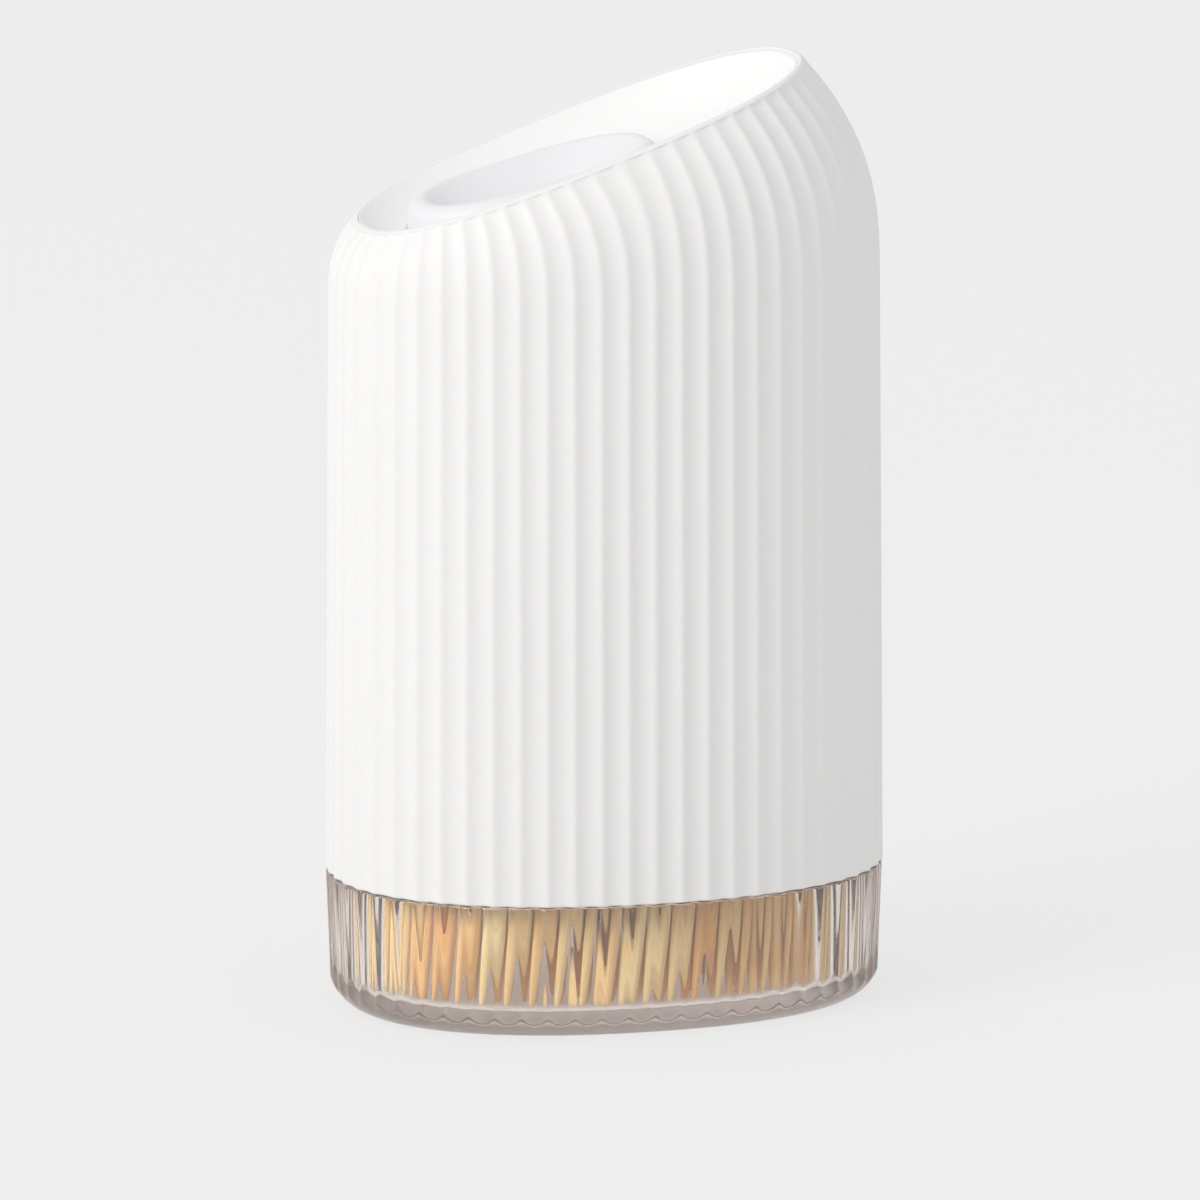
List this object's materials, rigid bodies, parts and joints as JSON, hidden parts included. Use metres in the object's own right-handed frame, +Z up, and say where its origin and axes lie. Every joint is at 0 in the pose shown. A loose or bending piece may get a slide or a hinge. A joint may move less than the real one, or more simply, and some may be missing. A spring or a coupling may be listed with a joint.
{
  "type": "toothpick holder",
  "caption": "Press-type toothpick holder: a fluted shell with a slanted oval mouth and a sprung button, standing in a clear fluted cup of toothpicks.",
  "frame": {"origin": "centre of the underside, on the surface it stands on", "axes": "+Z up, +X along the body's long axis towards the mouth's high end"},
  "size_m": [0.0536, 0.0388, 0.0899],
  "materials": {
    "white_shell": "matte",
    "white_inside": "satin",
    "white_button": "satin",
    "clear_plastic": "clear polished plastic",
    "toothpick_wood": "bare bamboo",
    "spring_steel": "drawn wire",
    "soft_sleeve": "matte silicone"
  },
  "bodies": {
    "root": {"base_cup": "clear_plastic", "front_toothpicks": "toothpick_wood", "rear_toothpicks": "toothpick_wood", "inner_toothpicks": "toothpick_wood", "ready_toothpick": "toothpick_wood"},
    "shell": {"outer_shell": "white_shell", "dish_insert": "white_inside", "guide_plate": "white_inside", "return_spring": "spring_steel"},
    "button": {"push_button": "white_button", "button_stem": "white_inside", "catcher_cone": "white_inside", "grip_sleeve": "soft_sleeve"}
  },
  "joints": [
    {"name": "shell_lift", "type": "slide", "parent": "root", "child": "shell", "axis": [0, 0, 1], "range_m": [0, 0.07]},
    {"name": "button_press", "type": "slide", "parent": "shell", "child": "button", "axis": [0, 0, -1], "range_m": [0, 0.013], "stiffness_N_per_m": 150, "springref_m": -0.004, "deforming": ["return_spring"]}
  ]
}
